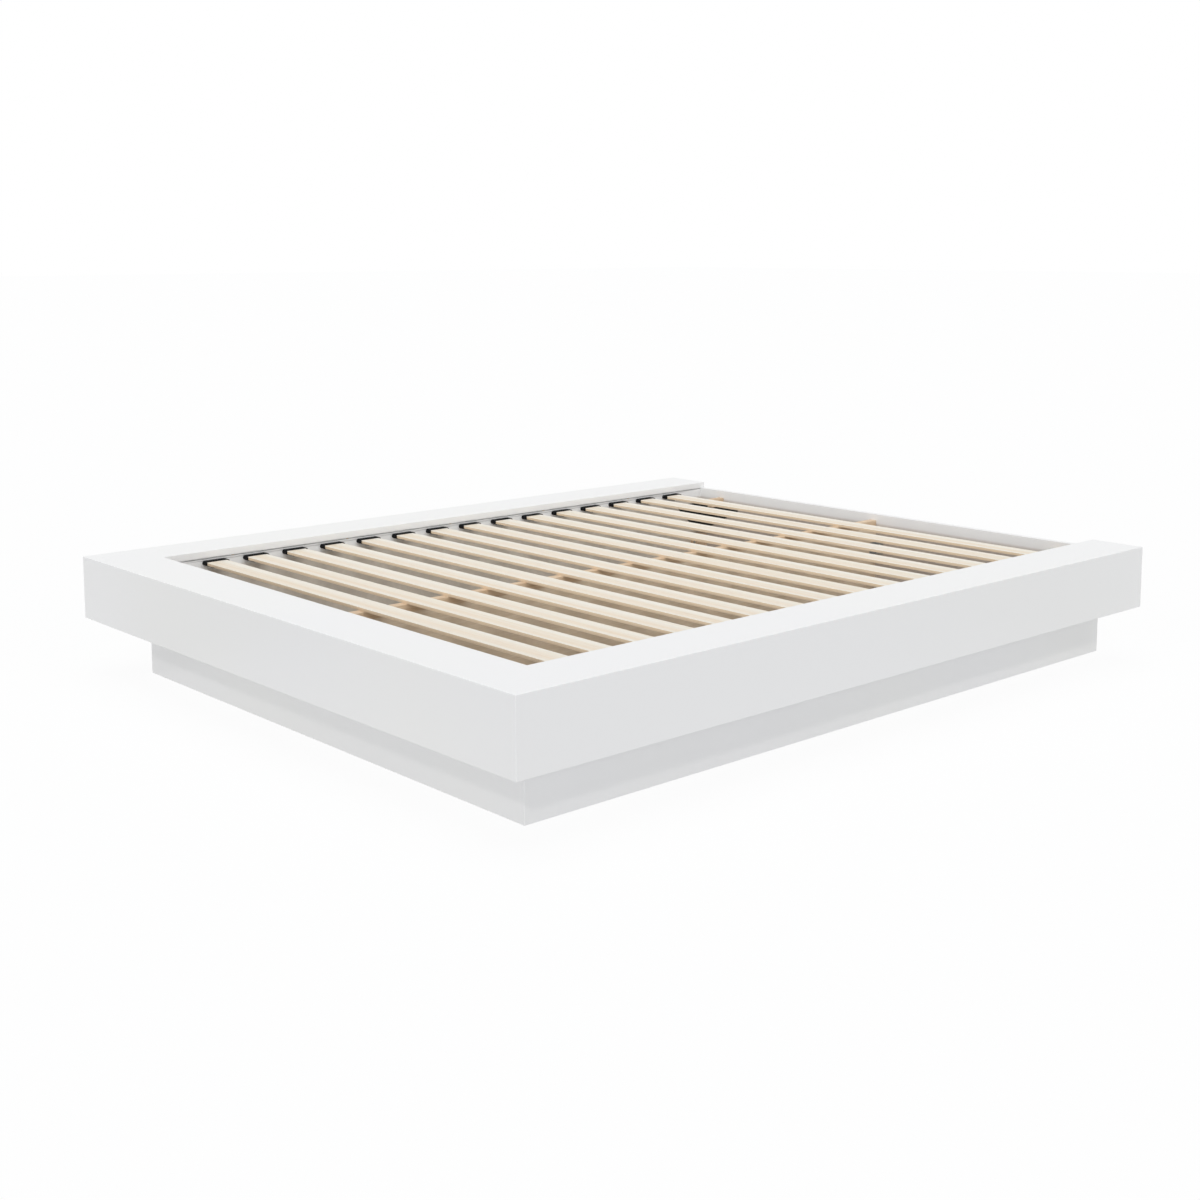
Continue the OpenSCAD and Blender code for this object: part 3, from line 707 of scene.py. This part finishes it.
# %% Turned parts
def turned(rows, count=48):
    """Rings of a turned part. Each row is (radius, height, sides). A round ring has sides 0. With n sides,
    the radius is r / cos(((a + p / 2) mod p) - p / 2) for p = 2 pi / n. A cross has sides -4, and its radius
    is r (0.45 + 0.55 c^2) for c = cos 2a."""
    a = np.arange(count) * 2 * np.pi / count
    rings = np.empty((len(rows), count, 3))
    for ring, (radius, height, sides) in zip(rings, rows):
        if sides > 0:
            part = 2 * np.pi / sides
            r = radius / np.cos((a + part / 2) % part - part / 2)
        elif sides < 0:
            r = radius * (0.45 + 0.55 * np.cos(2 * a) ** 2)
        else:
            r = np.full(count, radius)
        ring[:, 0], ring[:, 1], ring[:, 2] = r * np.cos(a), r * np.sin(a), height
    return rings


def screw_rings(length, head_height, shank, head, recess):
    """A screw along Z, with the underside of its head at 0. It has a tapered tip, a shank, a head with a
    rounded rim, and a recess."""
    top, rounding = head_height, head_height * 0.3
    deep = head_height * 0.6
    wide = head * (0.5 if recess > 0 else 0.62)
    return turned([(shank * 0.55, -length, 0), (shank, -length + shank * 0.6, 0), (shank, 0, 0),
                   (head, 0, 0), (head, top - rounding, 0),
                   (head - rounding * 0.3, top - rounding * 0.3, 0), (head - rounding, top, 0),
                   (wide * 1.08, top, recess), (wide, top - 0.0001, recess),
                   (wide * 0.96, top - deep, recess)])


def solids_of(node):
    """The points of each separate solid in a node of the measured model."""
    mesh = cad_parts[node].data
    points = np.empty(len(mesh.vertices) * 3)
    mesh.vertices.foreach_get("co", points)
    points, same = np.unique(points.reshape(-1, 3).round(6), axis=0, return_inverse=True)
    ends = np.empty(len(mesh.edges) * 2, int)
    mesh.edges.foreach_get("vertices", ends)
    first, second = same.reshape(-1)[ends.reshape(-1, 2)].T
    number = np.arange(len(points))
    while (number[first] != number[second]).any():
        least = np.minimum(number[first], number[second])
        np.minimum.at(number, first, least)
        np.minimum.at(number, second, least)
    return [points[number == n] for n in np.unique(number)]


def screws_like(node, recess):
    """A screw for each solid. Its axis is the longest way, and its head is the end with the points that lie
    far from the axis."""
    skins = []
    for points in solids_of(node):
        low, high = points.min(0), points.max(0)
        axis = int(np.argmax(high - low))
        middle = (low + high) / 2
        radius = np.linalg.norm(np.delete(points - middle, axis, 1), axis=1)
        reach = points[:, axis]
        head, shank = radius.max(), radius[radius < radius.max() * 0.8].max()
        head_points = reach[radius > head * 0.95]
        way = 1 if head_points.mean() > middle[axis] else -1
        seat = head_points.min() if way > 0 else head_points.max()
        length = abs(seat - (low[axis] if way > 0 else high[axis]))
        rings = screw_rings(length, np.ptp(head_points), shank, head, recess)
        placed = np.empty_like(rings)
        u_axis, v_axis = axes_across(axis)
        placed[..., axis] = seat + way * rings[..., 2]
        placed[..., u_axis] = middle[u_axis] + rings[..., 0]
        placed[..., v_axis] = middle[v_axis] + rings[..., 1]
        skins.append(skin(placed))
    print(node, "screws:", len(skins))
    return together(skins)


hexagon, cross = 6, -4
for name, node, recess in (("hexagon_socket_bolts", "bracket_bolts", hexagon),
                           ("cross_recess_plinth_screws", "plinth_screws", cross),
                           ("cross_recess_angle_screws", "angle_screws", cross)):
    piece(name, screws_like(node, recess), [node], zinc_steel, sharp_angle=35)


# %% Levelling feet
def threaded(low, high, crest, depth, pitch, count=24, steps=8):
    """A threaded rod: r = crest - depth (1 - t(z / pitch - a / 2 pi)), where t is a triangle wave from 0 to
    1. The thread runs out over one pitch at each end."""
    z = np.linspace(low, high, int(round((high - low) / pitch * steps)) + 1)[:, None]
    a = np.arange(count)[None] * 2 * np.pi / count
    wave = np.abs(((z / pitch - a / (2 * np.pi)) % 1) * 2 - 1)
    r = crest - depth * (1 - wave)
    end = np.minimum(z - low, high - z) / pitch
    r = np.minimum(r, crest - depth * (1 - np.clip(end, 0, 1)))
    return np.stack([r * np.cos(a), r * np.sin(a), np.broadcast_to(z, r.shape)], -1)


def pad_rings(r, h, bore, nut):
    """A pad of radius r and height h: the hollow below, the foot ring, the domed top, a hexagon collar of
    half width nut, and the bore back to where it began."""
    return turned([(bore, h * 0.45, 0), (r * 0.55, h * 0.45, 0), (r * 0.55, 0.0, 0), (r * 0.95, 0.0, 0),
                   (r * 0.985, h * 0.04, 0), (r, h * 0.12, 0), (r, h * 0.42, 0), (r * 0.97, h * 0.52, 0),
                   (r * 0.72, h * 0.62, 0), (r * 0.5, h * 0.72, 0), (r * 0.44, h * 0.8, 0),
                   (nut, h * 0.84, 6), (nut, h * 0.98, 6), (nut - 0.0005, h, 6), (bore, h, 0),
                   (bore, h * 0.45, 0)])


thread_depth, thread_pitch, pad_bore, collar = 0.0007, 0.00125, 0.00405, 0.0082
for number in (1, 2, 3):
    body = f"levelling_foot_{number}"
    low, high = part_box(f"levelling_stud_{number}")
    middle = np.array([(low.x + high.x) / 2, (low.y + high.y) / 2, 0])
    stud = threaded(low.z, high.z, (high.x - low.x) / 2, thread_depth, thread_pitch) + middle
    piece(f"threaded_stud_{number}", skin(stud), [f"levelling_stud_{number}"], zinc_steel, body,
          sharp_angle=25)
    low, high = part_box(f"levelling_pad_{number}")
    pad = pad_rings((high.x - low.x) / 2, high.z, pad_bore, collar) + middle
    # The profile closes on itself, so the two faces that would close its ends are left out.
    points, faces = skin(pad)
    piece(f"moulded_pad_{number}", (points, faces[:-2]), [f"levelling_pad_{number}"], black_plastic, body)

# %% [markdown]
# Finishes for the solids that stay
#
# Some solids are already right as they are: the boards under the rim, the centre board, ribs, blocks, dowels
# and threaded inserts. They keep their shape and only get a finish.

# %% Finishes of the remaining solids
kept = {
    white_lacquer: ["left_soffit", "right_soffit", "foot_soffit"],
    plywood: ["centre_board"],
    raw_chipboard: ["left_rim_ribs", "right_rim_ribs", "foot_rim_ribs"],
    pine_upright: ["plinth_corner_blocks", "rim_dowels", "beam_dowels"],
    zinc_steel: ["foot_inserts"],
}
for finish, nodes in kept.items():
    for node in nodes:
        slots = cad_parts[node].data.materials
        slots.clear()
        slots.append(finish)
print("solids that keep their shape:", sum(len(nodes) for nodes in kept.values()))

# %% [markdown]
# Floor
#
# The bed stands on a plain white floor that runs out of sight. The camera sees the floor almost as pure
# white, and so do rays that gloss and metal throw back. Light that bounces sees a dimmer glow, so that the
# floor lights the bed from below no more than white paper does. The paint that is mixed in keeps a faint
# shadow.
#
# The floor and the sky ask for the kind of ray in the same way, so two small helpers serve both.


# %% Helpers for light
def adder(tree):
    """A function that adds a node to the tree, fills its inputs in order and returns its first output."""
    def add(kind, operation=None, *values):
        node = tree.nodes.new(kind)
        if operation:
            node.operation = operation
        for socket, value in zip(node.inputs, values):
            if isinstance(value, bpy.types.NodeSocket):
                tree.links.new(value, socket)
            else:
                socket.default_value = value
        return node.outputs[0]
    return add


def seen_plainly(tree, add):
    """1 for rays from the camera and for those that a mirror or glass passes on, and 0 for all others."""
    rays = tree.nodes.new("ShaderNodeLightPath").outputs
    seen = add("ShaderNodeMath", "MAXIMUM", rays["Is Camera Ray"], rays["Is Glossy Ray"])
    return add("ShaderNodeMath", "MAXIMUM", seen, rays["Is Transmission Ray"])


white = (1, 1, 1, 1)


# %% Floor
def studio_floor(bounced_glow=0.42, bounced_share=0.8, seen_share=0.93):
    """Diffuse white paint under a glow. The glow has full strength where it is seen plainly, and the bounced
    strength for other light. Each case has its own share of glow, and the rest is paint."""
    made = bpy.data.materials.new("studio_floor")
    made.use_nodes = True
    tree = made.node_tree
    tree.nodes.clear()
    add = adder(tree)
    seen = seen_plainly(tree, add)
    paint = add("ShaderNodeBsdfDiffuse", None, (0.92, 0.925, 0.94, 1))
    strength = add("ShaderNodeMath", "MULTIPLY_ADD", seen, 1 - bounced_glow, bounced_glow)
    share = add("ShaderNodeMath", "MULTIPLY_ADD", seen, seen_share - bounced_share, bounced_share)
    glow = add("ShaderNodeEmission", None, white, strength)
    surface = add("ShaderNodeMixShader", None, share, paint, glow)
    tree.links.new(surface, tree.nodes.new("ShaderNodeOutputMaterial").inputs["Surface"])
    return made


def inner_floor():
    """Plain white paint: under the bed no light comes through the floor."""
    made = Finish("floor_under_bed", roughness=0.9)
    return made.finish(colour=made.ramp(made.noise(made.place, 8.0), [(0.3, screen(236, 236, 236)),
                                                                      (0.7, screen(240, 240, 240))]))


# One sheet in nine panels. The middle one lies inside the plinth.
far = 60.0
plinth_head_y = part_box("head_plinth_board")[1].y
xs = np.array([-far, plinth_low.x + board / 2, -plinth_low.x - board / 2, far])
ys = np.array([-far, plinth_low.y + board / 2, plinth_head_y - board / 2, far])
grid = np.stack([*np.meshgrid(xs, ys), np.zeros((4, 4))], -1).reshape(-1, 3)
row, column = np.divmod(np.arange(9), 3)
start = row * 4 + column
panels = np.stack([start, start + 1, start + 5, start + 4], -1)
floor_mesh = bpy.data.meshes.new("floor")
floor_mesh.from_pydata(grid.tolist(), [], panels.tolist())
floor_mesh.materials.append(studio_floor())
floor_mesh.materials.append(inner_floor())
floor_mesh.polygons.foreach_set("material_index", (np.arange(9) == 4).astype(int))
floor = bpy.data.objects.new("floor", floor_mesh)
bpy.context.scene.collection.objects.link(floor)
print("floor panels:", len(floor_mesh.polygons))

# %% [markdown]
# Light
#
# The photo was lit very evenly. The top of the rim is the brightest, the two outer sides are a little
# darker and almost alike, and even the faces inside the bed are bright. So there is a wide soft lamp
# overhead, and one low in front of the foot and one low beside the bed. Low lamps reach in between the
# slats. An even sky fills the shadows, and a small hard key gives the beam its crisp shadows.
#
# A sun lamp has the same strength everywhere, and its angle is how wide it looks from the bed. That is all
# a softbox far away would do, so sun lamps stand in for the softboxes.

# %% Sky
world = bpy.data.worlds.new("studio_sky")
bpy.context.scene.world = world
world.use_nodes = True
sky = world.node_tree
sky.nodes.clear()
add = adder(sky)
even_light = add("ShaderNodeBackground", None, (0.47, 0.47, 0.473, 1), 1.0)
backdrop = add("ShaderNodeBackground", None, white, 1.0)
choice = add("ShaderNodeMixShader", None, seen_plainly(sky, add), even_light, backdrop)
sky.links.new(choice, sky.nodes.new("ShaderNodeOutputWorld").inputs["Surface"])
print("sky nodes:", len(sky.nodes))


# %% Lamps
def lamp(name, direction, energy, spread, colour):
    """A distant lamp that shines in the given direction, from a patch of the given width in degrees."""
    light = bpy.data.lights.new(name, "SUN")
    light.energy, light.angle, light.color = energy, math.radians(spread), colour
    holder = bpy.data.objects.new(name, light)
    holder.rotation_mode = "QUATERNION"
    holder.rotation_quaternion = Vector(direction).to_track_quat("-Z", "Y")
    bpy.context.scene.collection.objects.link(holder)
    print("lamp", name, energy)


lamp("overhead_softbox", (0.0, 0.0, -1.0), 0.98, 50, (0.985, 1.0, 1.0))
lamp("front_softbox", (0.0, 1.0, -0.25), 0.74, 30, (0.985, 1.0, 1.0))
lamp("side_softbox", (-1.0, 0.0, -0.25), 0.75, 30, (0.98, 1.0, 1.0))
lamp("key", (-0.9, 1.0, -0.85), 0.33, 3, (1.0, 0.985, 0.96))

# %% [markdown]
# Camera
#
# The camera stands to the right of the foot, a good metre above the floor, with a normal lens. Its place and
# angles come from the corners and edges of the bed in the photo. It looks down by about seven degrees and
# is shifted a little, which puts the bed at the right height in the frame. Its three axes are worked out
# from the yaw, the pitch and the roll, and become the columns of its matrix.

# %% Camera
place = Vector((3.225, -2.971, 1.147))
yaw, pitch, roll = (math.radians(v) for v in (-48.04, 7.14, -0.09))
lens, sensor, shift = 48.93, 36.0, -0.125
look = Vector((math.sin(yaw) * math.cos(pitch), math.cos(yaw) * math.cos(pitch), -math.sin(pitch)))
right = Vector((math.cos(yaw), -math.sin(yaw), 0))
up = right.cross(look)
right, up = right * math.cos(roll) + up * math.sin(roll), up * math.cos(roll) - right * math.sin(roll)
camera = bpy.data.objects.new("camera", bpy.data.cameras.new("camera"))
camera.data.lens, camera.data.sensor_width, camera.data.shift_y = lens, sensor, shift
camera.data.clip_start, camera.data.clip_end = 0.05, 200
camera.matrix_world = Matrix.Translation(place) @ Matrix((right, up, -look)).transposed().to_4x4()
bpy.context.scene.collection.objects.link(camera)
bpy.context.scene.camera = camera

# %% View transform
bpy.context.scene.view_settings.view_transform = "Standard"
